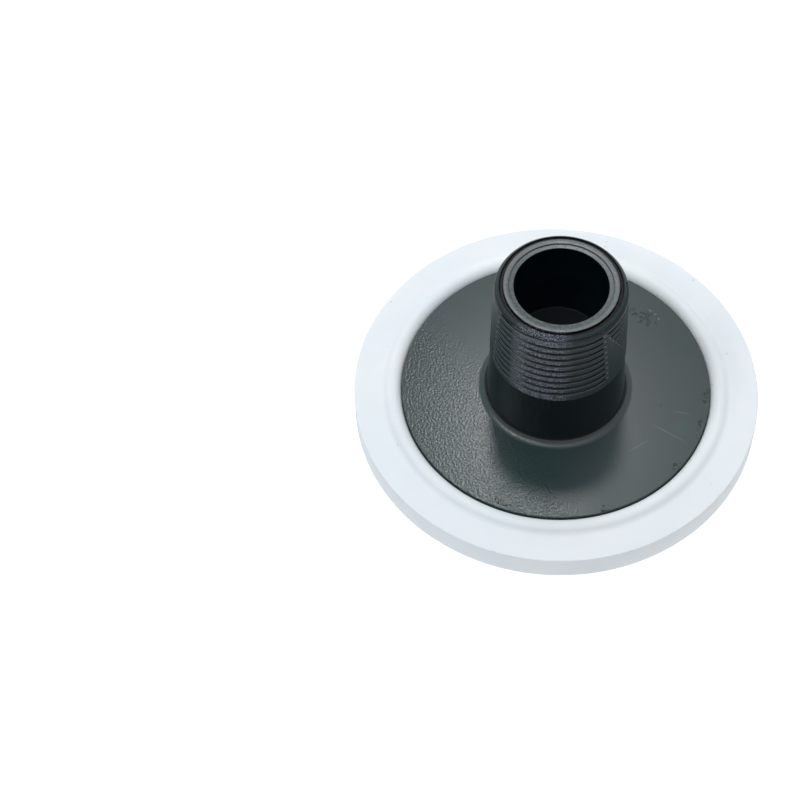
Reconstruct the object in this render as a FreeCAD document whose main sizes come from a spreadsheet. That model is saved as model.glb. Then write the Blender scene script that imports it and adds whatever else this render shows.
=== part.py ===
import FreeCAD, Part
import Sketcher
import math
import os

# Coarse bubble aerator: a black moulded base, which is a round plate with a hollow
# threaded stem, and a pale elastic cap that wraps the plate. Air comes in through the
# stem, lifts the cap off the plate and leaves by the holes in the cap's face.
# Millimetres. The face lies on z = 0 with its centre at the origin, the stem points up.

doc = FreeCAD.newDocument("aerator")

# Driving sizes
SIZES = [
    ("cap_radius", 41.5, "outside of the cap"),
    ("cap_wall", 2.5, "cap's side wall"),
    ("cap_edge_round", 0.25, "rounding of the cap's two outer edges"),
    ("face_thickness", 2.0, "cap's face"),
    ("flange_thickness", 1.8, "cap's back flange, over the plate's rim"),
    ("rim_thickness", 2.05, "plate's rim, gripped by the cap"),
    ("rim_width", 7.3, "width of that rim, outside the plate's raised middle"),
    ("plate_thickness", 4.0, "plate's raised middle"),
    ("plate_edge_round", 0.2, "rounding of the raised middle's edge"),
    ("lip_clearance", 0.05, "between the cap's lip and the raised middle"),
    ("bead_inner_round", 2.1, "bead's side towards the stem"),
    ("bead_rise", 0.82, "bead's crest above the flange's flat"),
    ("bead_outer_run", 2.2, "from the bead's crest out to the flat"),
    ("air_hole_count", 10, "air holes in the face"),
    ("air_hole_radius", 2.3, "one air hole"),
    ("air_hole_circle_radius", 28.0, "circle of the air holes"),
    ("ring_mark_radius", 10.4, "shallow ring in the middle of the face"),
    ("ring_mark_width", 0.5, "its width"),
    ("ring_mark_depth", 0.15, "its depth"),
    ("stem_height", 40.0, "stem's end above the face"),
    ("barrel_flare", 0.7, "growth of the plain barrel's radius from the thread to its foot"),
    ("barrel_wall", 3.2, "barrel's wall round the hollow, at its foot"),
    ("foot_round", 1.7, "hollow rounding between barrel and plate"),
    ("thread_length", 19.65, "threaded part of the stem"),
    ("thread_ledge", 0.13, "thread's crest beyond the barrel"),
    ("thread_crest_radius", 13.02, "crest of the thread at the stem's end"),
    ("thread_taper", 0.03125, "growth of the radius for each mm down the stem"),
    ("thread_pitch", 1.8143, "fourteen turns to the inch"),
    ("thread_depth", 0.9, "groove below the crest"),
    ("thread_floor", 0.12, "flat at the bottom of the groove"),
    ("flank_angle", 30.0, "each flank from the square section, in degrees"),
    ("groove_overcut", 0.15, "cutter beyond the crest"),
    ("first_groove_gap", 0.9, "plain band between the ledge and the first groove"),
    ("last_groove_gap", 0.7, "least height from the last groove to the stem's end"),
    ("runout_radius", 17.65, "arc on which the front half of the thread runs out"),
    ("runout_shift", 6.5, "that arc's centre from the stem's axis"),
    ("back_runout_radius", 17.4, "arc of the back half, at the thread's lower end"),
    ("back_runout_draw", 0.3, "loss of that arc's radius for each mm up the stem"),
    ("back_runout_turn", 15.0, "turn of its centre from the split line's square, in degrees"),
    ("split_angle", 170.0, "direction of the mould's split line, in degrees"),
    ("end_round", 2.0, "rounding of the stem's end"),
    ("bore_radius", 9.2, "air inlet in the stem"),
    ("bore_depth", 19.5, "depth of the air inlet"),
    ("mouth_width", 0.95, "sunk ring round the inlet's mouth"),
    ("mouth_depth", 0.3, "depth of that ring"),
    ("end_land_width", 1.1, "flat between that ring and the groove in the end"),
    ("end_groove_width", 0.75, "width of the ring groove in the stem's end"),
    ("end_groove_depth", 0.6, "depth of that groove"),
    ("web_thickness", 2.5, "web across the stem, which holds the orifice"),
    ("orifice_radius", 3.0, "orifice in the web"),
]

sheet = doc.addObject("Spreadsheet::Sheet", "Sizes")
for row, (alias, number, note) in enumerate(SIZES, start=1):
    sheet.set("A%d" % row, note)
    sheet.set("B%d" % row, str(number))
    sheet.setAlias("B%d" % row, alias)
doc.recompute()

# Heights and radii that follow from the sizes, as expressions on the sheet
PLATE_FACE = "Sizes.face_thickness"
RIM_TOP = "Sizes.face_thickness + Sizes.rim_thickness"
PLATE_TOP = "Sizes.face_thickness + Sizes.plate_thickness"
RIM_RADIUS = "Sizes.cap_radius - Sizes.cap_wall"
PLATE_RADIUS = RIM_RADIUS + " - Sizes.rim_width"
FLANGE_TOP = RIM_TOP + " + Sizes.flange_thickness"
LIP_RADIUS = PLATE_RADIUS + " + Sizes.lip_clearance"
BEAD_CREST_RADIUS = LIP_RADIUS + " + Sizes.bead_inner_round"
BEAD_TOP = FLANGE_TOP + " + Sizes.bead_rise"
BEAD_ARC = "(Sizes.bead_rise ^ 2 + Sizes.bead_outer_run ^ 2) / (4 * Sizes.bead_rise)"
THREAD_END = "Sizes.stem_height - Sizes.thread_length"
ROUND_START = "Sizes.stem_height - Sizes.end_round"
CREST_AT_THREAD_END = "Sizes.thread_crest_radius + Sizes.thread_taper * Sizes.thread_length"
CREST_AT_ROUND = "Sizes.thread_crest_radius + Sizes.thread_taper * Sizes.end_round"
BARREL_NECK_RADIUS = CREST_AT_THREAD_END + " - Sizes.thread_ledge"
BARREL_FOOT_RADIUS = BARREL_NECK_RADIUS + " + Sizes.barrel_flare"
HALF_FLOOR = "Sizes.thread_floor / 2"
MOUTH_REACH = "(Sizes.thread_depth + Sizes.groove_overcut)"
HALF_MOUTH = HALF_FLOOR + " + " + MOUTH_REACH + " * tan(Sizes.flank_angle)"
GROOVE_LIFT = "Sizes.first_groove_gap + " + HALF_MOUTH
GROOVE_START = THREAD_END + " + " + GROOVE_LIFT
HALF_TURNS = (
    "floor(2 * (Sizes.thread_length - Sizes.last_groove_gap - (" + GROOVE_LIFT + "))"
    " / Sizes.thread_pitch)"
)
FLOOR_AT_START = (
    "Sizes.thread_crest_radius - Sizes.thread_depth"
    " + Sizes.thread_taper * (Sizes.thread_length - (" + GROOVE_LIFT + "))"
)
ARC_SPARE = "2 * Sizes.thread_pitch"
ARC_FOOT = THREAD_END + " - " + ARC_SPARE
ARC_HEIGHT = "Sizes.thread_length + 2 * " + ARC_SPARE
BACK_ARC_RADIUS = "Sizes.back_runout_radius + Sizes.back_runout_draw * " + ARC_SPARE
MOUTH_RADIUS = "Sizes.bore_radius + Sizes.mouth_width"
END_GROOVE_RADIUS = MOUTH_RADIUS + " + Sizes.end_land_width"
FLOOR_OF_BORE = "Sizes.stem_height - Sizes.bore_depth"
HOLLOW_RADIUS = BARREL_FOOT_RADIUS + " - Sizes.barrel_wall"
HOLLOW_DEPTH = FLOOR_OF_BORE + " - Sizes.web_thickness - Sizes.face_thickness"


def value(expression):
    """Number that an expression on the sheet gives."""
    return float(sheet.evalExpression(expression))


def attach(sketch, body, role, height=None):
    """Lay a sketch on one of its own body's origin planes, raised by height."""
    plane = [p for p in body.Origin.OriginFeatures if p.Role == role][0]
    sketch.AttachmentSupport = [(plane, "")]
    sketch.MapMode = "FlatFace"
    if height:
        sketch.setExpression("AttachmentOffset.Base.z", height)


def fix_point(sketch, geometry, end, across, up):
    """Tie a point to the sheet, or to an axis where its place is zero.

    In a sketch -1 is the level axis, with the origin as its point 1, and -2 the upright one."""
    for kind, expression, axis in (("DistanceX", across, -2), ("DistanceY", up, -1)):
        if expression == "0":
            sketch.addConstraint(Sketcher.Constraint("PointOnObject", geometry, end, axis))
            continue
        index = sketch.addConstraint(
            Sketcher.Constraint(kind, -1, 1, geometry, end, value(expression))
        )
        sketch.setExpression("Constraints[%d]" % index, expression)


def draw_outline(sketch, corners):
    """Closed outline through corners (across, up, arc to the next corner).

    An arc is its radius and the way it turns, +1 to the left and -1 to the right."""
    ends = []
    for i, (across, up, arc) in enumerate(corners):
        nxt = corners[(i + 1) % len(corners)]
        a = FreeCAD.Vector(value(across), value(up), 0)
        b = FreeCAD.Vector(value(nxt[0]), value(nxt[1]), 0)
        if arc is None:
            line = sketch.addGeometry(Part.LineSegment(a, b))
            ends.append((line, 1, 2))
            continue
        expression, turn = arc
        chord = b - a
        radius = value(expression)
        bulge = radius - math.sqrt(max(radius ** 2 - chord.Length ** 2 / 4, 0))
        side = FreeCAD.Vector(chord.y, -chord.x, 0).normalize() * turn
        curve = sketch.addGeometry(Part.Arc(a, (a + b) * 0.5 + side * bulge, b))
        ends.append((curve, 1, 2) if turn > 0 else (curve, 2, 1))
        index = sketch.addConstraint(Sketcher.Constraint("Radius", curve, radius))
        sketch.setExpression("Constraints[%d]" % index, expression)
    for (geometry, first, _), (across, up, _) in zip(ends, corners):
        fix_point(sketch, geometry, first, across, up)
    for (one, _, last), (two, first, _) in zip(ends, ends[1:] + ends[:1]):
        sketch.addConstraint(Sketcher.Constraint("Coincident", one, last, two, first))


def revolve(body, name, corners):
    """Turn an outline in the upright plane all the way round the stem's axis."""
    sketch = body.newObject("Sketcher::SketchObject", name + "_outline")
    attach(sketch, body, "XZ_Plane")
    draw_outline(sketch, corners)
    turned = body.newObject("PartDesign::Revolution", name)
    turned.Profile = sketch
    turned.ReferenceAxis = (sketch, ["V_Axis"])
    turned.Angle = 360
    doc.recompute()
    return turned


def draw_circles(sketch, centre, radii):
    """Circles round one centre on the sketch's own X axis."""
    for radius in radii:
        circle = sketch.addGeometry(
            Part.Circle(FreeCAD.Vector(value(centre), 0, 0), FreeCAD.Vector(0, 0, 1), value(radius))
        )
        fix_point(sketch, circle, 3, centre, "0")
        index = sketch.addConstraint(Sketcher.Constraint("Radius", circle, value(radius)))
        sketch.setExpression("Constraints[%d]" % index, radius)


def cut_round(body, name, height, depth, radii, upward, centre="0"):
    """Cut a round or ring-shaped pocket that starts at a height."""
    before = body.Tip.Shape.Volume
    sketch = body.newObject("Sketcher::SketchObject", name + "_outline")
    attach(sketch, body, "XY_Plane", height)
    draw_circles(sketch, centre, radii)
    pocket = body.newObject("PartDesign::Pocket", name)
    pocket.Profile = sketch
    pocket.setExpression("Length", depth)
    pocket.Reversed = upward
    doc.recompute()
    if pocket.Shape.Volume >= before:
        raise RuntimeError(name + " cuts nothing")
    return pocket


# Base, one moulding: plate, barrel and stem as one turned form, then hollowed
base_body = doc.addObject("PartDesign::Body", "base_form")
revolve(base_body, "plate_and_stem", [
    ("0", PLATE_FACE, None),
    (RIM_RADIUS, PLATE_FACE, None),
    (RIM_RADIUS, RIM_TOP, None),
    (PLATE_RADIUS, RIM_TOP, None),
    (PLATE_RADIUS, PLATE_TOP + " - Sizes.plate_edge_round", ("Sizes.plate_edge_round", 1)),
    (PLATE_RADIUS + " - Sizes.plate_edge_round", PLATE_TOP, None),
    (BARREL_FOOT_RADIUS + " + Sizes.foot_round", PLATE_TOP, ("Sizes.foot_round", -1)),
    (BARREL_FOOT_RADIUS, PLATE_TOP + " + Sizes.foot_round", None),
    (BARREL_NECK_RADIUS, THREAD_END, None),
    (CREST_AT_THREAD_END, THREAD_END, None),
    (CREST_AT_ROUND, ROUND_START, ("Sizes.end_round", 1)),
    (CREST_AT_ROUND + " - Sizes.end_round", "Sizes.stem_height", None),
    ("0", "Sizes.stem_height", None),
])
cut_round(base_body, "mouth", "Sizes.stem_height", "Sizes.mouth_depth", [MOUTH_RADIUS], False)
cut_round(base_body, "end_groove", "Sizes.stem_height", "Sizes.end_groove_depth",
          [END_GROOVE_RADIUS, END_GROOVE_RADIUS + " + Sizes.end_groove_width"], False)
cut_round(base_body, "bore", "Sizes.stem_height", "Sizes.bore_depth", ["Sizes.bore_radius"], False)
cut_round(base_body, "hollow", PLATE_FACE, HOLLOW_DEPTH, [HOLLOW_RADIUS], True)
cut_round(base_body, "orifice", FLOOR_OF_BORE, "Sizes.web_thickness", ["Sizes.orifice_radius"], False)

# Thread: a groove swept up a tapered helix. It starts and ends on the mould's split line,
# where the groove of each half has run out to nothing.
path = doc.addObject("Part::Helix", "groove_path")
path.setExpression("Pitch", "Sizes.thread_pitch")
path.setExpression("Height", "Sizes.thread_pitch * " + HALF_TURNS + " / 2")
path.setExpression("Radius", FLOOR_AT_START)
path.setExpression("Angle", "-atan(Sizes.thread_taper)")
path.setExpression("Placement.Base.z", GROOVE_START)

# Groove's section, drawn upright through the axis at the start of the path
section = doc.addObject("Sketcher::SketchObject", "groove_section")
section.Placement.Rotation = FreeCAD.Rotation(FreeCAD.Vector(1, 0, 0), 90)
draw_outline(section, [
    (FLOOR_AT_START, GROOVE_START + " - " + HALF_FLOOR, None),
    (FLOOR_AT_START + " + " + MOUTH_REACH, GROOVE_START + " - (" + HALF_MOUTH + ")", None),
    (FLOOR_AT_START + " + " + MOUTH_REACH, GROOVE_START + " + " + HALF_MOUTH, None),
    (FLOOR_AT_START, GROOVE_START + " + " + HALF_FLOOR, None),
])
groove = doc.addObject("Part::Sweep", "groove")
groove.Sections = [section]
groove.Spine = (path, [])
groove.Solid = True
groove.Frenet = True

# Each half of the mould cuts its grooves on an arc wider than the stem, so they fade out
# towards the split line. What both arcs enclose stays solid. The back half's arc draws in
# upwards, so that its grooves come further round to the front near the stem's end.
front_arc = doc.addObject("Part::Cylinder", "front_half_arc")
front_arc.setExpression("Radius", "Sizes.runout_radius")
front_arc.setExpression("Height", ARC_HEIGHT)
front_arc.setExpression("Placement.Base.y", "-Sizes.runout_shift")
front_arc.setExpression("Placement.Base.z", ARC_FOOT)
back_arc = doc.addObject("Part::Cone", "back_half_arc")
back_arc.setExpression("Radius1", BACK_ARC_RADIUS)
back_arc.setExpression("Radius2", BACK_ARC_RADIUS + " - Sizes.back_runout_draw * (" + ARC_HEIGHT + ")")
back_arc.setExpression("Height", ARC_HEIGHT)
back_arc.setExpression("Placement.Base.x", "Sizes.runout_shift * sin(Sizes.back_runout_turn)")
back_arc.setExpression("Placement.Base.y", "Sizes.runout_shift * cos(Sizes.back_runout_turn)")
back_arc.setExpression("Placement.Base.z", ARC_FOOT)
kept = doc.addObject("Part::Common", "kept_between_arcs")
kept.Base = front_arc
kept.Tool = back_arc
grooves = doc.addObject("Part::Cut", "grooves")
grooves.Base = groove
grooves.Tool = kept

base = doc.addObject("Part::Cut", "threaded_base")
base.Base = base_body
base.Tool = grooves
base.setExpression("Placement.Rotation.Angle", "Sizes.split_angle")

# Cap, one moulding: face, side wall, back flange and the bead round its opening
cap = doc.addObject("PartDesign::Body", "membrane_cap")
revolve(cap, "face_and_flange", [
    ("0", "0", None),
    ("Sizes.cap_radius - Sizes.cap_edge_round", "0", ("Sizes.cap_edge_round", 1)),
    ("Sizes.cap_radius", "Sizes.cap_edge_round", None),
    ("Sizes.cap_radius", FLANGE_TOP + " - Sizes.cap_edge_round", ("Sizes.cap_edge_round", 1)),
    ("Sizes.cap_radius - Sizes.cap_edge_round", FLANGE_TOP, None),
    (BEAD_CREST_RADIUS + " + Sizes.bead_outer_run", FLANGE_TOP, (BEAD_ARC, -1)),
    (BEAD_CREST_RADIUS + " + Sizes.bead_outer_run / 2",
     FLANGE_TOP + " + Sizes.bead_rise / 2", (BEAD_ARC, 1)),
    (BEAD_CREST_RADIUS, BEAD_TOP, ("Sizes.bead_inner_round", 1)),
    (LIP_RADIUS, BEAD_TOP + " - Sizes.bead_inner_round", None),
    (LIP_RADIUS, RIM_TOP, None),
    (RIM_RADIUS, RIM_TOP, None),
    (RIM_RADIUS, PLATE_FACE, None),
    ("0", PLATE_FACE, None),
])
cut_round(cap, "ring_mark", "0", "Sizes.ring_mark_depth",
          ["Sizes.ring_mark_radius + Sizes.ring_mark_width / 2",
           "Sizes.ring_mark_radius - Sizes.ring_mark_width / 2"], True)
hole = cut_round(cap, "air_hole", "0", "Sizes.face_thickness", ["Sizes.air_hole_radius"], True,
                 "Sizes.air_hole_circle_radius")
holes = cap.newObject("PartDesign::PolarPattern", "air_holes")
holes.Originals = [hole]
holes.Axis = (hole.Profile[0], ["N_Axis"])
holes.Angle = 360
holes.setExpression("Occurrences", "Sizes.air_hole_count")
cap.Tip = holes

doc.recompute()

# Each piece has to be sound before it is written
for thing in doc.Objects:
    if "Invalid" in thing.State or "Error" in thing.State:
        raise RuntimeError(thing.Name + " failed: " + str(thing.State))

os.makedirs("parts", exist_ok=True)
for piece in (base, cap):
    if piece.Shape.isNull() or not piece.Shape.isValid() or len(piece.Shape.Solids) != 1:
        raise RuntimeError(piece.Label + " is not one sound solid")
    piece.Shape.exportStep("parts/" + piece.Label + ".step")
    print(piece.Label, "%.1f mm3" % piece.Shape.Volume, piece.Shape.BoundBox)
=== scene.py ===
import bpy
import bmesh
import math
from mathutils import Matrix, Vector


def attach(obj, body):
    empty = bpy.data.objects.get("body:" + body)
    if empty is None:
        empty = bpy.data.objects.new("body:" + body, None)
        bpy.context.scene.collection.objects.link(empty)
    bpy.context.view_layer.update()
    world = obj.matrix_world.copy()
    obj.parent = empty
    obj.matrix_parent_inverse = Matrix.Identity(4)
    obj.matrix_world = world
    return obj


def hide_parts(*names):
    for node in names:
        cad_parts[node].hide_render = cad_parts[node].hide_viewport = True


# Coarse bubble aerator, lying on its face with the stem up.
# All sizes below are millimetres, and mm turns them into Blender's metres.
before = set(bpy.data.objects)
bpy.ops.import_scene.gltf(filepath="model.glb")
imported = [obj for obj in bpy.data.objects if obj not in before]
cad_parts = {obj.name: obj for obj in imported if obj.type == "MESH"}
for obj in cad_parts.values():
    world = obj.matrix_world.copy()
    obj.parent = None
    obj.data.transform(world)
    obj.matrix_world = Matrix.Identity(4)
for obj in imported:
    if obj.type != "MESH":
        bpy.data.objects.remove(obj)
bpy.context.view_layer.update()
mm = 0.001
weld = 0.0005 * mm  # vertices closer than this are one
print("frame loaded:", sorted(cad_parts))

scene = bpy.context.scene
scene.view_settings.view_transform = "Standard"

# camera, as the photograph was taken
cameraSetup = {
    "place": (0.0, -233.01, 345.00),
    "turn": (34.0122, 1.6721, 5.4484),
    "lens": 89.528,
    "sensor": 36,
    "nearest": 10,
}
bpy.ops.object.camera_add(
    location=[v * mm for v in cameraSetup["place"]],
    rotation=[math.radians(v) for v in cameraSetup["turn"]],
)
camera = bpy.context.object
camera.data.lens = cameraSetup["lens"]
camera.data.sensor_width = cameraSetup["sensor"]
camera.data.clip_start = cameraSetup["nearest"] * mm
scene.camera = camera


def onlyThis(ob):
    bpy.ops.object.select_all(action="DESELECT")
    ob.select_set(True)
    bpy.context.view_layer.objects.active = ob


def inEdit(ob):
    onlyThis(ob)
    bpy.ops.object.mode_set(mode="EDIT")


def outOfEdit():
    bpy.ops.object.mode_set(mode="OBJECT")


def pickCorner(ob, corner):
    # selects the outline's vertex at this corner, in edit mode
    bpy.ops.mesh.select_mode(type="VERT")
    bpy.ops.mesh.select_all(action="DESELECT")
    bm = bmesh.from_edit_mesh(ob.data)
    for v in bm.verts:
        if math.dist((v.co.x, v.co.z), (corner[0] * mm, corner[1] * mm)) < 2 * weld:
            v.select_set(True)
    bmesh.update_edit_mesh(ob.data)


def drawOutline(name, corners, closed):
    # walks one vertex through the corners (across, up, rounding, rows), then rounds them
    bpy.ops.object.select_all(action="DESELECT")
    bpy.ops.mesh.primitive_plane_add(size=1 * mm)
    ob = bpy.context.object
    ob.name = name
    bpy.ops.object.mode_set(mode="EDIT")
    bpy.ops.mesh.merge(type="CENTER")
    here = Vector((corners[0][0], 0, corners[0][1])) * mm
    bpy.ops.transform.translate(value=here)
    for corner in corners[1:] + (corners[:1] if closed else []):
        there = Vector((corner[0], 0, corner[1])) * mm
        bpy.ops.mesh.extrude_region_move(TRANSFORM_OT_translate={"value": there - here})
        here = there
    bpy.ops.mesh.select_all(action="SELECT")
    bpy.ops.mesh.remove_doubles(threshold=weld)
    for corner in corners:
        if len(corner) > 2:
            pickCorner(ob, corner)
            bpy.ops.mesh.bevel(offset=corner[2] * mm, segments=corner[3], affect="VERTICES")
    outOfEdit()
    return ob


def spinRound(ob, steps):
    inEdit(ob)
    bpy.ops.mesh.select_all(action="SELECT")
    bpy.ops.mesh.spin(steps=steps, angle=math.tau, center=(0, 0, 0), axis=(0, 0, 1))
    bpy.ops.mesh.select_all(action="SELECT")
    bpy.ops.mesh.remove_doubles(threshold=weld)
    bpy.ops.mesh.normals_make_consistent(inside=False)
    outOfEdit()


def modify(ob, kind, **settings):
    # adds a modifier with its settings and applies it
    onlyThis(ob)
    modifier = ob.modifiers.new(kind.title(), kind)
    for key, value in settings.items():
        setattr(modifier, key, value)
    bpy.ops.object.modifier_apply(modifier=modifier.name)


def cutWith(ob, cutter, operation="DIFFERENCE"):
    modify(ob, "BOOLEAN", object=cutter, operation=operation, solver="EXACT")
    bpy.data.objects.remove(cutter, do_unlink=True)


def arcPoints(centre, radius, start, end, count):
    # points of an arc in the upright plane, angles in degrees
    points = []
    for i in range(count + 1):
        a = math.radians(start + (end - start) * i / count)
        points.append((centre[0] + radius * math.cos(a), centre[1] + radius * math.sin(a)))
    return points


print("tools ready")

# base: plate, barrel and threaded stem; each rounding is its size and its number of rows
base = {
    "plateFace": 2.0,
    "rimRadius": 39.0,
    "rimTop": 4.05,
    "plateRadius": 31.7,
    "plateTop": 6.0,
    "plateRound": (0.2, 4),
    "rimRound": (0.2, 3),
    "footRound": (1.7, 10),
    "barrelFoot": 14.204,
    "barrelNeck": 13.504,
    "neckRise": 0.02,
    "neckRound": (0.05, 3),
    "threadEnd": 20.35,
    "crestRows": 44,
    "stemTop": 40.0,
    "crestRadius": 13.02,
    "taper": 0.03125,
    "endRound": 2.0,
    "endRows": 16,
    "bore": 9.2,
    "boreRound": (0.15, 4),
    "boreFloor": 20.5,
    "boreFloorRound": (0.4, 4),
    "mouth": 10.15,
    "mouthDepth": 0.3,
    "mouthRound": (0.08, 3),
    "endGroove": (11.25, 12.0),
    "endGrooveDepth": 0.6,
    "endGrooveDraw": 0.08,
    "endGrooveRound": (0.1, 3),
    "endGrooveLip": (0.06, 3),
    "endStep": 0.01,
    "webBottom": 18.0,
    "orifice": 3.0,
    "orificeRound": (0.15, 3),
    "hollow": 11.004,
    "hollowRound": (0.5, 4),
    "hollowMouthRound": (0.3, 3),
    "steps": 256,
}
# radius of the crest's cone, carried down to the ground
crestAtGround = base["crestRadius"] + base["taper"] * base["stemTop"]

# thread: its groove, then the arcs at which the grooves run out on both sides
thread = {
    "pitch": 1.8143,
    "depth": 0.9,
    "floor": 0.12,
    "flank": 30.0,
    "overcut": 0.15,
    "start": 21.916,
    "halfTurns": 19,
    "stepsPerHalf": 64,
    "splitAngle": 170.0,
    "runoutRadius": 17.65,
    "runoutShift": 6.5,
    "backRadius": 17.4,
    "backDraw": 0.3,
    "backTurn": 15.0,
    "arcSides": 256,
}


def buildBase():
    b = base
    crestLow = b["crestRadius"] + b["taper"] * (b["stemTop"] - b["threadEnd"])
    crestHigh = b["crestRadius"] + b["taper"] * b["endRound"]
    roundCentre = (crestHigh - b["endRound"], b["stemTop"] - b["endRound"])
    grooveIn, grooveOut = b["endGroove"]
    grooveFloor = b["stemTop"] - b["endGrooveDepth"]
    mouthFloor = b["stemTop"] - b["mouthDepth"]
    outline = [
        (b["orifice"], b["webBottom"]),
        (b["hollow"], b["webBottom"], *b["hollowRound"]),
        (b["hollow"], b["plateFace"], *b["hollowMouthRound"]),
        (b["rimRadius"], b["plateFace"], *b["rimRound"]),
        (b["rimRadius"], b["rimTop"], *b["rimRound"]),
        (b["plateRadius"], b["rimTop"]),
        (b["plateRadius"], b["plateTop"], *b["plateRound"]),
        (b["barrelFoot"], b["plateTop"], *b["footRound"]),
        (b["barrelNeck"], b["threadEnd"] - b["neckRise"]),
        (crestLow, b["threadEnd"], *b["neckRound"]),
    ]
    # the crest in short rows, so that the cut grooves shade evenly
    for i in range(1, b["crestRows"]):
        z = b["threadEnd"] + (roundCentre[1] - b["threadEnd"]) * i / b["crestRows"]
        outline.append((b["crestRadius"] + b["taper"] * (b["stemTop"] - z), z))
    for point in arcPoints(roundCentre, b["endRound"], 0, 90, b["endRows"]):
        if point[0] > grooveOut:
            outline.append(point)
    rim = roundCentre[1] + math.sqrt(b["endRound"] ** 2 - (grooveOut - roundCentre[0]) ** 2)
    outline += [
        (grooveOut, rim, *b["endGrooveLip"]),
        (grooveOut - b["endGrooveDraw"], grooveFloor, *b["endGrooveRound"]),
        (grooveIn + b["endGrooveDraw"], grooveFloor, *b["endGrooveRound"]),
        (grooveIn, b["stemTop"] - b["endStep"], *b["mouthRound"]),
        (roundCentre[0], b["stemTop"]),
        (b["mouth"], b["stemTop"], *b["mouthRound"]),
        (b["mouth"], mouthFloor, *b["mouthRound"]),
        (b["bore"], mouthFloor, *b["boreRound"]),
        (b["bore"], b["boreFloor"], *b["boreFloorRound"]),
        (b["orifice"], b["boreFloor"], *b["orificeRound"]),
    ]
    ob = drawOutline("threadedBase", outline, True)
    spinRound(ob, b["steps"])
    return ob


def buildGroove():
    # one long groove up the stem, less what lies between the two run-out arcs
    t = thread
    middle = (t["start"] + t["pitch"] * t["halfTurns"] / 4) * base["taper"]
    scale = crestAtGround / (crestAtGround - middle)
    depth = t["depth"] * scale
    over = t["overcut"] * scale
    halfMouth = t["floor"] / 2 + (depth + over) * math.tan(math.radians(t["flank"])) / scale
    inner = crestAtGround - depth
    outer = crestAtGround + over
    section = [
        (inner, t["start"] - t["floor"] / 2),
        (outer, t["start"] - halfMouth),
        (outer, t["start"] + halfMouth),
        (inner, t["start"] + t["floor"] / 2),
    ]
    cutter = drawOutline("grooveCutter", section, True)
    modify(
        cutter, "SCREW", axis="Z", angle=math.pi, screw_offset=t["pitch"] / 2 * mm,
        iterations=t["halfTurns"], steps=t["stepsPerHalf"], render_steps=t["stepsPerHalf"],
        use_merge_vertices=True, merge_threshold=weld, use_normal_calculate=True,
    )
    height = cutter.dimensions.z
    modify(
        cutter, "SIMPLE_DEFORM", deform_method="TAPER", deform_axis="Z",
        factor=-base["taper"] / (crestAtGround * mm) * height,
    )
    # the screw leaves both ends open, and an open cutter doesn't cut reliably
    inEdit(cutter)
    bpy.ops.mesh.select_all(action="SELECT")
    bpy.ops.mesh.fill_holes(sides=4)
    bpy.ops.mesh.select_all(action="SELECT")
    bpy.ops.mesh.normals_make_consistent(inside=False)
    bpy.ops.transform.rotate(
        value=math.radians(t["splitAngle"]), orient_axis="Z", orient_type="GLOBAL",
        center_override=(0, 0, 0),
    )
    outOfEdit()
    # each half of the mould cut its grooves on an arc: where both arcs meet, the stem is plain
    spare = 2 * t["pitch"]
    arcFoot = base["threadEnd"] - spare
    arcHeight = base["stemTop"] - base["threadEnd"] + 2 * spare
    backFoot = t["backRadius"] + t["backDraw"] * spare
    arcs = []
    for turn, low, high in (
        (-90, t["runoutRadius"], t["runoutRadius"]),
        (90 - t["backTurn"], backFoot, backFoot - t["backDraw"] * arcHeight),
    ):
        turned = math.radians(t["splitAngle"] + turn)
        bpy.ops.mesh.primitive_cone_add(
            vertices=t["arcSides"], radius1=low * mm, radius2=high * mm, depth=arcHeight * mm,
            location=(
                t["runoutShift"] * math.cos(turned) * mm,
                t["runoutShift"] * math.sin(turned) * mm,
                (arcFoot + arcHeight / 2) * mm,
            ),
        )
        arcs.append(bpy.context.object)
    cutWith(arcs[0], arcs[1], "INTERSECT")
    cutWith(cutter, arcs[0])
    return cutter


baseObject = buildBase()
print("base turned:", len(baseObject.data.polygons), "faces")
groove = buildGroove()
print("groove cutter:", len(groove.data.polygons), "faces")
cutWith(baseObject, groove)
print("thread cut:", len(baseObject.data.polygons), "faces")

# cap: face, wall, flange and bead
cap = {
    "radius": 41.5,
    "backRound": (0.25, 5),
    "faceRound": (0.3, 5),
    "faceTop": 2.0,
    "wallInside": 39.0,
    "rimTop": 4.05,
    "flangeTop": 5.85,
    "lip": 31.75,
    "beadInner": 2.1,
    "beadRise": 0.82,
    "beadRun": 2.2,
    "beadRows": 8,
    "lipRows": 16,
    "ringMark": (10.15, 10.65),
    "ringDepth": 0.15,
    "ringDraw": 0.1,
    "ringLip": (0.1, 3),
    "ringRound": (0.08, 3),
    "holes": 10,
    "holeRadius": 2.3,
    "holeCircle": 28.0,
    "holeSides": 48,
    "punchLength": 3.0,
    "punchMiddle": 1.1,
    "steps": 288,
}


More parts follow.
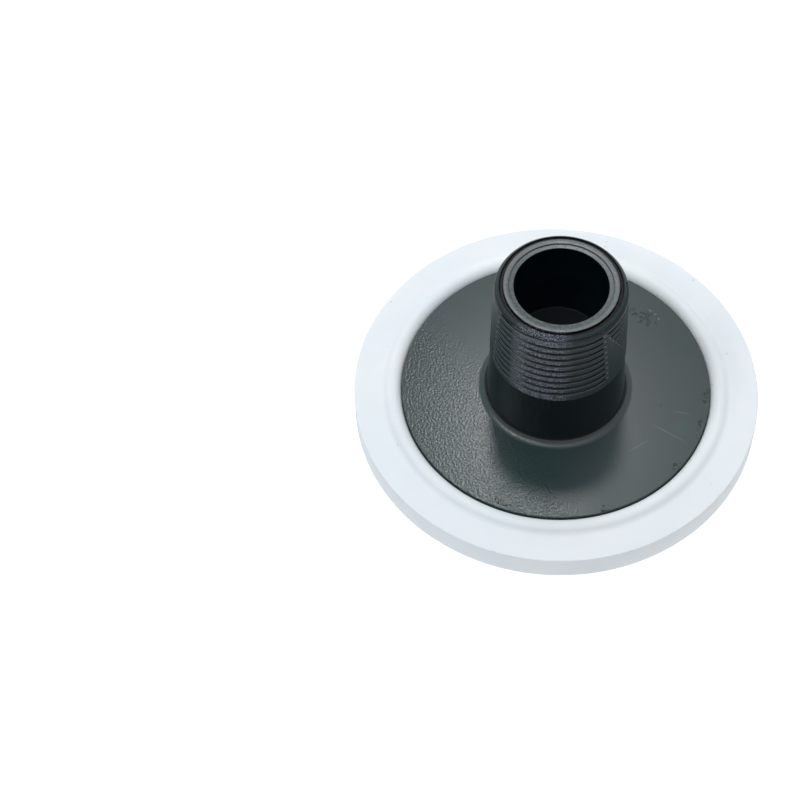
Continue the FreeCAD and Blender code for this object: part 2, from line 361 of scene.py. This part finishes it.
def buildCap():
    c = cap
    crest = c["lip"] + c["beadInner"]
    beadTop = c["flangeTop"] + c["beadRise"]
    arc = (c["beadRise"] ** 2 + c["beadRun"] ** 2) / (4 * c["beadRise"])
    turn = math.degrees(math.asin(c["beadRun"] / 2 / arc))
    markIn, markOut = c["ringMark"]
    rows = c["beadRows"]
    outline = [
        (0, 0),
        (markIn, 0, *c["ringLip"]),
        (markIn + c["ringDraw"], c["ringDepth"], *c["ringRound"]),
        (markOut - c["ringDraw"], c["ringDepth"], *c["ringRound"]),
        (markOut, 0, *c["ringLip"]),
        (c["radius"], 0, *c["faceRound"]),
        (c["radius"], c["flangeTop"], *c["backRound"]),
    ]
    # the bead: a hollow run, a round back, and a quarter round down to the lip
    outline += arcPoints((crest + c["beadRun"], c["flangeTop"] + arc), arc, -90, -90 - turn, rows)
    outline += arcPoints((crest, beadTop - arc), arc, 90 - turn, 90, rows)[1:]
    lipCentre = (crest, beadTop - c["beadInner"])
    outline += arcPoints(lipCentre, c["beadInner"], 90, 180, c["lipRows"])[1:]
    outline += [
        (c["lip"], c["rimTop"]),
        (c["wallInside"], c["rimTop"]),
        (c["wallInside"], c["faceTop"]),
        (0, c["faceTop"]),
    ]
    ob = drawOutline("membraneCap", outline, False)
    spinRound(ob, c["steps"])
    # ten air holes: one punch, copied round the circle
    bpy.ops.mesh.primitive_cylinder_add(
        vertices=c["holeSides"], radius=c["holeRadius"] * mm, depth=c["punchLength"] * mm,
        location=(c["holeCircle"] * mm, 0, c["punchMiddle"] * mm),
    )
    punch = bpy.context.object
    inEdit(punch)
    for i in range(1, c["holes"]):
        bpy.ops.mesh.select_all(action="DESELECT")
        bm = bmesh.from_edit_mesh(punch.data)
        bm.verts.ensure_lookup_table()
        for v in bm.verts[:2 * c["holeSides"]]:
            v.select_set(True)
        bm.select_flush(True)
        bmesh.update_edit_mesh(punch.data)
        bpy.ops.mesh.duplicate()
        bpy.ops.transform.rotate(
            value=math.tau * i / c["holes"], orient_axis="Z", orient_type="GLOBAL",
            center_override=(0, 0, 0),
        )
    outOfEdit()
    cutWith(ob, punch)
    return ob


capObject = buildCap()
print("cap built:", len(capObject.data.polygons), "faces")


def hexColour(code):
    # sRGB hex to the linear colour that the shaders take
    parts = [int(code[i:i + 2], 16) / 255 for i in (1, 3, 5)]
    linear = [p / 12.92 if p <= 0.04045 else ((p + 0.055) / 1.055) ** 2.4 for p in parts]
    return (*linear, 1)


def newMaterial(name):
    material = bpy.data.materials.new(name)
    material.use_nodes = True
    material.node_tree.nodes.clear()
    return material, material.node_tree


def addNode(tree, kind, settings=None, inputs=None, links=None):
    # one node: its properties, the values of its sockets, and what is linked into them
    node = tree.nodes.new("ShaderNode" + kind)
    for key, value in (settings or {}).items():
        setattr(node, key, value)
    for key, value in (inputs or {}).items():
        node.inputs[key].default_value = value
    for key, source in (links or {}).items():
        tree.links.new(source, node.inputs[key])
    return node


def perSize(size):
    # texture scale that gives features of this size in millimetres
    return 1 / (size * mm)


absIor = 1.53  # refractive index of ABS

# plate: injection-moulded black ABS, satin with an orange-peel ripple;
# its grain is finer on the real piece, and drawn at 0.3 mm so that it shows
satin = {
    "cool": "#132F2F",
    "warm": "#1C2F33",
    "tintSize": 16,
    "tintSpread": (0.38, 0.62),
    "rough": (0.34, 0.4),
    "coarseRough": 0.25,
    "rippleSize": 0.5,
    "rippleFine": 0.012,
    "rippleCoarse": 0.09,
    "coarseSide": (-0.8, -0.6, 0),
    "coarseReach": (5, 19),
    "grainSize": 0.3,
    "grainStrength": 0.5,
    "grainHeight": 0.012,
    "nickAndGapColour": "#0A1214",
    "nickInside": 0.35,
    "nickDepth": 0.15,
    "crumbSize": 1.0,
    "crumbSpread": (0.53, 0.6),
    "scratchColour": "#56605F",
    "scratchSpread": (0.1, 0.6),
    "scratchStrength": 0.4,
    "patchColour": "#10383A",
    "markReach": 2,
}
# marks: place, length and width in millimetres, turn in degrees
nicksAndGapShade = [
    ((17.9, 18.8), 7.5, 4.5, -35),
    ((21.3, -3.3), 1.3, 1.1, 0),
    ((29.7, -7.6), 2.6, 1.4, 70),
    ((25.7, -17.8), 3.2, 2.4, 40),
    ((11.5, -28.7), 3.6, 1.6, 20),
    # painted shade: the gap between plate and bead, wider here
    ((31.0, -0.4), 5.0, 2.0, 90),
    ((-9.5, -29.0), 5.0, 1.6, -15),
]
scratches = [
    ((23.4, -10.0), 11.0, 0.5, -29),
    ((26.0, -4.9), 5.0, 0.4, -6),
    ((17.5, -13.6), 6.0, 0.4, 38),
]
tealPatch = ((26.3, -8.6), 5.0, 4.0, 30)


def markOn(tree, place, mark):
    # one mark on the plate: 1 at its middle, 0 from its outline on
    (x, y), length, width, turn = mark
    spot = addNode(tree, "Mapping", {"vector_type": "TEXTURE"}, {
        "Location": (x * mm, y * mm, base["plateTop"] * mm),
        "Rotation": (0, 0, math.radians(turn)),
        "Scale": (length / 2 * mm, width / 2 * mm, satin["markReach"] * mm)}, {"Vector": place})
    return addNode(tree, "TexGradient", {"gradient_type": "SPHERICAL"}, None, {
        "Vector": spot.outputs[0]}).outputs[1]


def marksOn(tree, place, marks):
    strongest = markOn(tree, place, marks[0])
    for mark in marks[1:]:
        strongest = addNode(tree, "Math", {"operation": "MAXIMUM"}, None, {
            0: strongest, 1: markOn(tree, place, mark)}).outputs[0]
    return strongest


def absSatinMaterial():
    # the ripple breaks up the reflections and the shadow's edge, more so on the front left;
    # two dark tints where the melt flowed; nicks and scratches from handling; and at the plate's
    # right edge a dark mark, painted shade where the gap to the bead widens
    s = satin
    material, tree = newMaterial("absMouldedSatin")
    place = addNode(tree, "TexCoord").outputs["Object"]
    tint = addNode(tree, "TexNoise", None, {
        "Scale": perSize(s["tintSize"]), "Detail": 2.0}, {"Vector": place})
    tinted = addNode(tree, "MapRange", {"interpolation_type": "SMOOTHSTEP"}, {
        "From Min": s["tintSpread"][0], "From Max": s["tintSpread"][1]}, {"Value": tint.outputs[0]})
    body = addNode(tree, "Mix", {"data_type": "RGBA"}, {
        6: hexColour(s["cool"]), 7: hexColour(s["warm"])}, {"Factor": tinted.outputs[0]})
    patched = addNode(tree, "Mix", {"data_type": "RGBA"}, {7: hexColour(s["patchColour"])}, {
        "Factor": markOn(tree, place, tealPatch), 6: body.outputs[2]})
    # nicks, and the painted gap shade, are ragged: their ovals keep only what a fine noise leaves
    crumbs = addNode(tree, "TexNoise", None, {
        "Scale": perSize(s["crumbSize"]), "Detail": 2.0}, {"Vector": place})
    pits = addNode(tree, "MapRange", {"interpolation_type": "SMOOTHSTEP"}, {
        "From Min": s["crumbSpread"][0], "From Max": s["crumbSpread"][1]},
        {"Value": crumbs.outputs[0]})
    inside = addNode(tree, "MapRange", None, {"From Max": s["nickInside"]}, {
        "Value": marksOn(tree, place, nicksAndGapShade)})
    nickedOrGapShaded = addNode(tree, "Math", {"operation": "MULTIPLY"}, None, {
        0: pits.outputs[0], 1: inside.outputs[0]})
    darkened = addNode(tree, "Mix", {"data_type": "RGBA"}, {7: hexColour(s["nickAndGapColour"])}, {
        "Factor": nickedOrGapShaded.outputs[0], 6: patched.outputs[2]})
    scored = addNode(tree, "MapRange", None, {
        "From Min": s["scratchSpread"][0], "From Max": s["scratchSpread"][1],
        "To Max": s["scratchStrength"]}, {"Value": marksOn(tree, place, scratches)})
    scratched = addNode(tree, "Mix", {"data_type": "RGBA"}, {7: hexColour(s["scratchColour"])}, {
        "Factor": scored.outputs[0], 6: darkened.outputs[2]})
    # how coarse the skin is: 0 on the right and at the back, 1 on the front left
    along = addNode(tree, "VectorMath", {"operation": "DOT_PRODUCT"}, {
        1: s["coarseSide"]}, {0: place})
    coarse = addNode(tree, "MapRange", {"interpolation_type": "SMOOTHSTEP"}, {
        "From Min": s["coarseReach"][0] * mm, "From Max": s["coarseReach"][1] * mm},
        {"Value": along.outputs["Value"]})
    even = addNode(tree, "MapRange", None, {
        "To Min": s["rough"][0], "To Max": s["rough"][1]}, {"Value": tint.outputs[0]})
    roughness = addNode(tree, "Mix", {"data_type": "FLOAT"}, {3: s["coarseRough"]}, {
        "Factor": coarse.outputs[0], 2: even.outputs[0]})
    ripple = addNode(tree, "TexNoise", None, {
        "Scale": perSize(s["rippleSize"]), "Detail": 2.0}, {"Vector": place})
    height = addNode(tree, "MapRange", None, {
        "To Min": s["rippleFine"] * mm, "To Max": s["rippleCoarse"] * mm},
        {"Value": coarse.outputs[0]})
    swell = addNode(tree, "Math", {"operation": "MULTIPLY"}, None, {
        0: ripple.outputs[0], 1: height.outputs[0]})
    sunk = addNode(tree, "Math", {"operation": "MULTIPLY_ADD"}, {1: -s["nickDepth"] * mm}, {
        0: nickedOrGapShaded.outputs[0], 2: swell.outputs[0]})
    waves = addNode(tree, "Bump", None, {"Distance": 1.0}, {"Height": sunk.outputs[0]})
    grain = addNode(tree, "TexNoise", None, {
        "Scale": perSize(s["grainSize"]), "Detail": 1.0}, {"Vector": place})
    bump = addNode(tree, "Bump", None, {
        "Strength": s["grainStrength"], "Distance": s["grainHeight"] * mm},
        {"Height": grain.outputs[0], "Normal": waves.outputs[0]})
    shader = addNode(tree, "BsdfPrincipled", None, {"IOR": absIor}, {
        "Base Color": scratched.outputs[2], "Roughness": roughness.outputs[0],
        "Normal": bump.outputs[0]})
    addNode(tree, "OutputMaterial", links={"Surface": shader.outputs[0]})
    return material


# barrel and bore wall: the same ABS from a polished tool, near black
gloss = {
    "deep": "#030F13",
    "haze": "#07171B",
    "hazeSize": 6,
    "rough": (0.1, 0.17),
    "rippleSize": 2.5,
    "rippleStrength": 0.3,
    "rippleHeight": 0.02,
}


def absGlossMaterial():
    # almost a mirror, slightly wavy, with a faint haze in broad patches
    g = gloss
    material, tree = newMaterial("absMouldedGloss")
    place = addNode(tree, "TexCoord").outputs["Object"]
    haze = addNode(tree, "TexNoise", None, {
        "Scale": perSize(g["hazeSize"]), "Detail": 3.0}, {"Vector": place})
    body = addNode(tree, "Mix", {"data_type": "RGBA"}, {
        6: hexColour(g["deep"]), 7: hexColour(g["haze"])}, {"Factor": haze.outputs[0]})
    roughness = addNode(tree, "MapRange", None, {
        "To Min": g["rough"][0], "To Max": g["rough"][1]}, {"Value": haze.outputs[0]})
    ripple = addNode(tree, "TexNoise", None, {
        "Scale": perSize(g["rippleSize"]), "Detail": 2.0}, {"Vector": place})
    bump = addNode(tree, "Bump", None, {
        "Strength": g["rippleStrength"], "Distance": g["rippleHeight"] * mm},
        {"Height": ripple.outputs[0]})
    shader = addNode(tree, "BsdfPrincipled", None, {"IOR": absIor}, {
        "Base Color": body.outputs[2], "Roughness": roughness.outputs[0],
        "Normal": bump.outputs[0]})
    addNode(tree, "OutputMaterial", links={"Surface": shader.outputs[0]})
    return material


# thread: the same ABS from a cut, unpolished tool; grit drawn at 0.28 mm so that it shows
cut = {
    # painted shade: the roots are black; painted sheen: the flanks, and less so the crests, are
    # paler than the black ABS
    "root": "#010203",
    "flank": "#6E7A7C",
    "crest": "#2B3537",
    # pale grit on the crests; where it gathers round one bearing it is a painted highlight
    "scuff": "#868694",
    "specular": 0.1,
    "crestDepth": (0.04, 0.22),
    "rootDepth": (0.17, 0.32),
    "rough": (0.16, 0.36),
    "dip": 0.11,
    "gritSize": 0.28,
    "gritHeight": 0.035,
    # a black line round the end's rounding: its height and half width
    "blackLine": 39.13,
    "blackLineHalf": 0.09,
    "grooveLip": 0.08,
    "sheenBearing": -14.0,
    "sheenEdge": (30, 12),
    "scuffSpread": (0.42, 0.62),
    "scuffStrength": 0.75,
    "sheenElsewhere": 0.05,
}


def absThreadMaterial():
    # colours by depth, as painted light and shade: black roots as painted shade, flanks and, less
    # so, crests paler than the black ABS as painted sheen, gritty crests, and pale grit on the
    # crests of one side, gathered there as a painted highlight
    c = cut
    material, tree = newMaterial("absThreadCut")
    place = addNode(tree, "TexCoord").outputs["Object"]
    flat = addNode(tree, "VectorMath", {"operation": "MULTIPLY"}, {1: (1, 1, 0)}, {0: place})
    across = addNode(tree, "VectorMath", {"operation": "LENGTH"}, None, {0: flat.outputs[0]})
    split = addNode(tree, "SeparateXYZ", links={0: place})
    # how deep below the tapered crest a point lies; the end's rounding doesn't count
    rounded = addNode(tree, "MapRange", None, {
        "From Min": (base["stemTop"] - base["endRound"]) * mm, "From Max": base["stemTop"] * mm,
        "To Max": base["endRound"] * mm}, {"Value": split.outputs["Z"]})
    outer = addNode(tree, "Math", {"operation": "ADD"}, None, {
        0: rounded.outputs[0], 1: across.outputs["Value"]})
    coned = addNode(tree, "Math", {"operation": "MULTIPLY_ADD"}, {1: base["taper"]}, {
        0: split.outputs["Z"], 2: outer.outputs[0]})
    crest = addNode(tree, "MapRange", None, {
        "From Min": (crestAtGround - c["crestDepth"][1]) * mm,
        "From Max": (crestAtGround - c["crestDepth"][0]) * mm}, {"Value": coned.outputs[0]})
    root = addNode(tree, "MapRange", None, {
        "From Min": (crestAtGround - c["rootDepth"][0]) * mm,
        "From Max": (crestAtGround - c["rootDepth"][1]) * mm}, {"Value": coned.outputs[0]})
    # painted sheen: flanks paler than crests, both paler than the black ABS
    paintedSheen = addNode(tree, "Mix", {"data_type": "RGBA"}, {
        6: hexColour(c["flank"]), 7: hexColour(c["crest"])}, {"Factor": crest.outputs[0]})
    # as black as the roots: a black line round the end's rounding, and painted shade on the floor
    # of the end's ring groove
    blackLine = addNode(tree, "Math", {"operation": "COMPARE"}, {
        1: c["blackLine"] * mm, 2: c["blackLineHalf"] * mm}, {0: split.outputs["Z"]})
    grooveFloorShade = addNode(tree, "MapRange", None, {
        "From Min": (base["endGroove"][1] + c["grooveLip"]) * mm,
        "From Max": base["endGroove"][1] * mm}, {"Value": across.outputs["Value"]})
    rings = addNode(tree, "Math", {"operation": "MAXIMUM"}, None, {
        0: grooveFloorShade.outputs[0], 1: blackLine.outputs[0]})
    # painted shade: where the roots and the rings reach, the colour goes black
    low = addNode(tree, "Math", {"operation": "MAXIMUM"}, None, {
        0: root.outputs[0], 1: rings.outputs[0]})
    deep = addNode(tree, "Mix", {"data_type": "RGBA"}, {7: hexColour(c["root"])}, {
        "Factor": low.outputs[0], 6: paintedSheen.outputs[2]})
    # pale grit on the crests, gathered round one bearing as a painted highlight
    grit = addNode(tree, "TexNoise", None, {
        "Scale": perSize(c["gritSize"]), "Detail": 2.0}, {"Vector": place})
    bearing = math.radians(c["sheenBearing"])
    facing = addNode(tree, "VectorMath", {"operation": "NORMALIZE"}, None, {0: flat.outputs[0]})
    toward = addNode(tree, "VectorMath", {"operation": "DOT_PRODUCT"}, {
        1: (math.sin(bearing), -math.cos(bearing), 0)}, {0: facing.outputs[0]})
    side = addNode(tree, "MapRange", {"interpolation_type": "SMOOTHSTEP"}, {
        "From Min": math.cos(math.radians(c["sheenEdge"][0])),
        "From Max": math.cos(math.radians(c["sheenEdge"][1]))}, {"Value": toward.outputs["Value"]})
    sideways = addNode(tree, "MapRange", None, {"To Min": c["sheenElsewhere"]}, {
        "Value": side.outputs[0]})
    speck = addNode(tree, "MapRange", {"interpolation_type": "SMOOTHSTEP"}, {
        "From Min": c["scuffSpread"][0], "From Max": c["scuffSpread"][1],
        "To Max": c["scuffStrength"]}, {"Value": grit.outputs[0]})
    onCrest = addNode(tree, "Math", {"operation": "MULTIPLY"}, None, {
        0: crest.outputs[0], 1: speck.outputs[0]})
    scuff = addNode(tree, "Math", {"operation": "MULTIPLY"}, None, {
        0: onCrest.outputs[0], 1: sideways.outputs[0]})
    body = addNode(tree, "Mix", {"data_type": "RGBA"}, {7: hexColour(c["scuff"])}, {
        "Factor": scuff.outputs[0], 6: deep.outputs[2]})
    roughness = addNode(tree, "MapRange", None, {
        "To Min": c["rough"][0], "To Max": c["rough"][1]}, {"Value": crest.outputs[0]})
    # grit on the crests only; the flanks dip towards the root
    gritty = addNode(tree, "MapRange", None, {
        "To Min": c["gritHeight"] * mm, "To Max": 0.0}, {"Value": root.outputs[0]})
    grains = addNode(tree, "Math", {"operation": "MULTIPLY"}, None, {
        0: grit.outputs[0], 1: gritty.outputs[0]})
    dipped = addNode(tree, "Math", {"operation": "MULTIPLY_ADD"}, {1: -c["dip"] * mm}, {
        0: low.outputs[0], 2: grains.outputs[0]})
    bump = addNode(tree, "Bump", None, {"Distance": 1.0}, {"Height": dipped.outputs[0]})
    shader = addNode(tree, "BsdfPrincipled", None, {
        "IOR": absIor, "Specular IOR Level": c["specular"]}, {
        "Base Color": body.outputs[2], "Roughness": roughness.outputs[0],
        "Normal": bump.outputs[0]})
    addNode(tree, "OutputMaterial", links={"Surface": shader.outputs[0]})
    return material


# stem's end: the same ABS, faced and scuffed; grit drawn at 0.3 mm so that it shows
faced = {
    "dark": "#243032",
    "pale": "#3D4A4C",
    "scuffSize": 0.6,
    "scuffSpread": (0.35, 0.68),
    "rough": (0.3, 0.42),
    "gritSize": 0.3,
    "gritStrength": 0.5,
    "gritHeight": 0.02,
}


def absEndMaterial():
    # paler and duller than the moulded skin, and cloudy where it was scuffed
    f = faced
    material, tree = newMaterial("absEndScuffed")
    place = addNode(tree, "TexCoord").outputs["Object"]
    scuff = addNode(tree, "TexNoise", None, {
        "Scale": perSize(f["scuffSize"]), "Detail": 3.0}, {"Vector": place})
    spread = addNode(tree, "MapRange", {"interpolation_type": "SMOOTHSTEP"}, {
        "From Min": f["scuffSpread"][0], "From Max": f["scuffSpread"][1]},
        {"Value": scuff.outputs[0]})
    body = addNode(tree, "Mix", {"data_type": "RGBA"}, {
        6: hexColour(f["dark"]), 7: hexColour(f["pale"])}, {"Factor": spread.outputs[0]})
    roughness = addNode(tree, "MapRange", None, {
        "To Min": f["rough"][0], "To Max": f["rough"][1]}, {"Value": spread.outputs[0]})
    grit = addNode(tree, "TexNoise", None, {
        "Scale": perSize(f["gritSize"]), "Detail": 2.0}, {"Vector": place})
    bump = addNode(tree, "Bump", None, {
        "Strength": f["gritStrength"], "Distance": f["gritHeight"] * mm},
        {"Height": grit.outputs[0]})
    shader = addNode(tree, "BsdfPrincipled", None, {"IOR": absIor}, {
        "Base Color": body.outputs[2], "Roughness": roughness.outputs[0],
        "Normal": bump.outputs[0]})
    addNode(tree, "OutputMaterial", links={"Surface": shader.outputs[0]})
    return material


# floor of the bore: the same ABS left matt by the core pin; grain drawn at 0.4 mm
cored = {
    "dark": "#060F12",
    "haze": "#0C171A",
    "hazeSize": 3,
    "rough": (0.5, 0.62),
    "specular": 0.2,
    "grainSize": 0.4,
    "grainStrength": 0.4,
    "grainHeight": 0.02,
}


def absCoredMaterial():
    # dull and slightly cloudy, so that it stands off from the glossy wall
    c = cored
    material, tree = newMaterial("absCoredMatt")
    place = addNode(tree, "TexCoord").outputs["Object"]
    haze = addNode(tree, "TexNoise", None, {
        "Scale": perSize(c["hazeSize"]), "Detail": 3.0}, {"Vector": place})
    body = addNode(tree, "Mix", {"data_type": "RGBA"}, {
        6: hexColour(c["dark"]), 7: hexColour(c["haze"])}, {"Factor": haze.outputs[0]})
    roughness = addNode(tree, "MapRange", None, {
        "To Min": c["rough"][0], "To Max": c["rough"][1]}, {"Value": haze.outputs[0]})
    grain = addNode(tree, "TexNoise", None, {
        "Scale": perSize(c["grainSize"]), "Detail": 2.0}, {"Vector": place})
    bump = addNode(tree, "Bump", None, {
        "Strength": c["grainStrength"], "Distance": c["grainHeight"] * mm},
        {"Height": grain.outputs[0]})
    shader = addNode(tree, "BsdfPrincipled", None, {
        "IOR": absIor, "Specular IOR Level": c["specular"]}, {
        "Base Color": body.outputs[2], "Roughness": roughness.outputs[0],
        "Normal": bump.outputs[0]})
    addNode(tree, "OutputMaterial", links={"Surface": shader.outputs[0]})
    return material


# cap: moulded silicone rubber, white with a blue cast; its skin is drawn at 3 mm
rubber = {
    "cool": "#E3EAEC",
    "warm": "#E9EDEE",
    "cloudSize": 13,
    "cloudSpread": (0.36, 0.64),
    "dust": "#CBD3D8",
    "dustSize": 1.1,
    "dustSpread": (0.76, 0.82),
    "rough": (0.46, 0.56),
    "skinSize": 3.0,
    "skinStrength": 0.4,
    "skinHeight": 0.03,
    "ior": 1.41,
    "inside": 0.2,
    "insideDepth": 2,
    "insideTint": (0.8, 0.9, 1.0),
}


def siliconeMaterial():
    # soft satin with a little light inside, faint clouding, and a few specks that it holds
    r = rubber
    material, tree = newMaterial("siliconeMoulded")
    place = addNode(tree, "TexCoord").outputs["Object"]
    cloud = addNode(tree, "TexNoise", None, {
        "Scale": perSize(r["cloudSize"]), "Detail": 2.0}, {"Vector": place})
    clouded = addNode(tree, "MapRange", {"interpolation_type": "SMOOTHSTEP"}, {
        "From Min": r["cloudSpread"][0], "From Max": r["cloudSpread"][1]},
        {"Value": cloud.outputs[0]})
    body = addNode(tree, "Mix", {"data_type": "RGBA"}, {
        6: hexColour(r["cool"]), 7: hexColour(r["warm"])}, {"Factor": clouded.outputs[0]})
    speck = addNode(tree, "TexNoise", None, {
        "Scale": perSize(r["dustSize"]), "Detail": 1.0}, {"Vector": place})
    specks = addNode(tree, "MapRange", {"interpolation_type": "SMOOTHSTEP"}, {
        "From Min": r["dustSpread"][0], "From Max": r["dustSpread"][1]},
        {"Value": speck.outputs[0]})
    dusty = addNode(tree, "Mix", {"data_type": "RGBA"}, {7: hexColour(r["dust"])}, {
        "Factor": specks.outputs[0], 6: body.outputs[2]})
    roughness = addNode(tree, "MapRange", None, {
        "To Min": r["rough"][0], "To Max": r["rough"][1]}, {"Value": clouded.outputs[0]})
    skin = addNode(tree, "TexNoise", None, {
        "Scale": perSize(r["skinSize"]), "Detail": 4.0}, {"Vector": place})
    bump = addNode(tree, "Bump", None, {
        "Strength": r["skinStrength"], "Distance": r["skinHeight"] * mm},
        {"Height": skin.outputs[0]})
    shader = addNode(tree, "BsdfPrincipled", None, {
        "IOR": r["ior"], "Subsurface Weight": r["inside"],
        "Subsurface Radius": r["insideTint"], "Subsurface Scale": r["insideDepth"] * mm}, {
        "Base Color": dusty.outputs[2], "Roughness": roughness.outputs[0],
        "Normal": bump.outputs[0]})
    addNode(tree, "OutputMaterial", links={"Surface": shader.outputs[0]})
    return material


finishes = {
    "satin": absSatinMaterial(),
    "gloss": absGlossMaterial(),
    "thread": absThreadMaterial(),
    "end": absEndMaterial(),
    "cored": absCoredMaterial(),
}
silicone = siliconeMaterial()
print("materials made:", [m.name for m in [*finishes.values(), silicone]])

# how far past a piece's edge its finish still reaches
regions = {"across": 0.02, "down": 0.1, "boreFloor": 0.38, "foot": 0.5, "barrel": 1, "neck": 0.01}


def finishAt(r, z):
    b = base
    g = regions
    if r < b["bore"] + g["across"] and z > b["boreFloor"] - g["down"]:
        return "cored" if z < b["boreFloor"] + g["boreFloor"] else "gloss"
    mouthFloor = b["stemTop"] - b["mouthDepth"]
    if r < b["endGroove"][0] + g["across"] and z > mouthFloor - g["down"]:
        return "end"
    if z > b["threadEnd"] - g["neck"]:
        return "thread"
    if z > b["plateTop"] + g["foot"] and r < b["barrelFoot"] + g["barrel"]:
        return "gloss"
    return "satin"


slots = list(finishes)
for material in finishes.values():
    baseObject.data.materials.append(material)
for face in baseObject.data.polygons:
    middle = face.center / mm
    face.material_index = slots.index(finishAt(math.hypot(middle.x, middle.y), middle.z))
capObject.data.materials.append(silicone)

# faces that meet at less than this angle, in degrees, shade as one
for ob, sharpest in ((baseObject, 17), (capObject, 28)):
    onlyThis(ob)
    bpy.ops.object.shade_smooth_by_angle(angle=math.radians(sharpest))

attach(baseObject, "root")
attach(capObject, "root")
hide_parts("threaded_base")
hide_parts("membrane_cap")

# floor and light
studio = {
    "floorSize": 6,
    "floorGap": 0.15,
    "floorColour": 0.62,
    "floorLift": 0.68,
    "paper": 1.4,
    "paperEdge": 0.1,
    "roomDim": 0.05,
    "roomBright": 0.88,
    "roomSpread": (-0.2, 1.0),
    "brightSide": (0.16, 0.8, 0.58),
    "tint": "#F9FBFF",
    "lampDistance": 1.2,
}
# each lamp: bearing from the front and height in degrees, metres across, watts, tint
lamps = {
    "key": ((183, 67), (0.14, 0.16), 2.2, "#FFFFFF"),
    "keyLow": ((185, 57), (0.14, 0.14), 1.3, "#FFFFFF"),
    "overheadFront": ((0, 67), (1.6, 0.18), 2.8, "#FFFFFF"),
    "frontLeft": ((-30, 55), (0.14, 0.14), 1.3, "#DCE8FF"),
    "left": ((-72, 53), (0.4, 0.2), 2.6, "#F0F8FF"),
}
bpy.ops.object.select_all(action="DESELECT")
bpy.ops.mesh.primitive_plane_add(
    size=studio["floorSize"], location=(0, 0, -studio["floorGap"] * mm))
floor = bpy.context.object
floor.name = "studioFloor"
# white paper: the camera sees it lifted to white, with the object's shadow on it
floorMaterial, tree = newMaterial("studioPaper")
path = addNode(tree, "LightPath")
geometry = addNode(tree, "NewGeometry")
paper = addNode(tree, "BsdfDiffuse", inputs={"Color": (*[studio["floorColour"]] * 3, 1)})
lifted = addNode(tree, "Math", {"operation": "MULTIPLY"}, {1: studio["floorLift"]}, {
    0: path.outputs["Is Camera Ray"]})
lift = addNode(tree, "Emission", None, {"Color": (1, 1, 1, 1)}, {"Strength": lifted.outputs[0]})
both = addNode(tree, "AddShader", links={0: paper.outputs[0], 1: lift.outputs[0]})
clear = addNode(tree, "BsdfTransparent")
side = addNode(tree, "MixShader", links={
    0: geometry.outputs["Backfacing"], 1: both.outputs[0], 2: clear.outputs[0]})
addNode(tree, "OutputMaterial", links={"Surface": side.outputs[0]})
floor.data.materials.append(floorMaterial)
floor.visible_diffuse = False
floor.visible_glossy = False

world = bpy.data.worlds.new("studio")
scene.world = world
world.use_nodes = True
tree = world.node_tree
tree.nodes.clear()
# white where the camera, glass or gloss sees it; as light it is white paper below the object,
# and a dim room above it with one brighter side
path = addNode(tree, "LightPath")
seenOrThrough = addNode(tree, "Math", {"operation": "MAXIMUM"}, None, {
    0: path.outputs["Is Camera Ray"], 1: path.outputs["Is Transmission Ray"]})
seen = addNode(tree, "Math", {"operation": "MAXIMUM"}, None, {
    0: seenOrThrough.outputs[0], 1: path.outputs["Is Glossy Ray"]})
outward = addNode(tree, "TexCoord").outputs["Generated"]
height = addNode(tree, "SeparateXYZ", links={0: outward})
sideways = addNode(tree, "VectorMath", {"operation": "DOT_PRODUCT"}, {
    1: studio["brightSide"]}, {0: outward})
room = addNode(tree, "MapRange", {"interpolation_type": "SMOOTHSTEP"}, {
    "From Min": studio["roomSpread"][0], "From Max": studio["roomSpread"][1],
    "To Min": studio["roomDim"], "To Max": studio["roomBright"]},
    {"Value": sideways.outputs["Value"]})
below = addNode(tree, "MapRange", None, {
    "From Min": studio["paperEdge"], "From Max": -studio["paperEdge"]},
    {"Value": height.outputs["Z"]})
around = addNode(tree, "Mix", {"data_type": "FLOAT"}, {3: studio["paper"]}, {
    "Factor": below.outputs[0], 2: room.outputs[0]})
strength = addNode(tree, "Mix", {"data_type": "FLOAT"}, {3: 1.0}, {
    "Factor": seen.outputs[0], 2: around.outputs[0]})
colour = addNode(tree, "Mix", {"data_type": "RGBA"}, {
    6: hexColour(studio["tint"]), 7: (1, 1, 1, 1)}, {"Factor": seen.outputs[0]})
sky = addNode(tree, "Background", links={
    "Color": colour.outputs[2], "Strength": strength.outputs[0]})
addNode(tree, "OutputWorld", links={"Surface": sky.outputs[0]})

for name, (direction, size, power, tint) in lamps.items():
    bearing, rise = (math.radians(v) for v in direction)
    outward = Vector((
        math.sin(bearing) * math.cos(rise), -math.cos(bearing) * math.cos(rise), math.sin(rise)))
    bpy.ops.object.light_add(type="AREA", location=outward * studio["lampDistance"])
    light = bpy.context.object
    light.name = name
    light.data.shape = "RECTANGLE"
    light.data.size, light.data.size_y = size
    light.data.energy = power
    light.data.color = hexColour(tint)[:3]
    light.rotation_euler = outward.to_track_quat("Z", "Y").to_euler()
print("floor and lamps set")
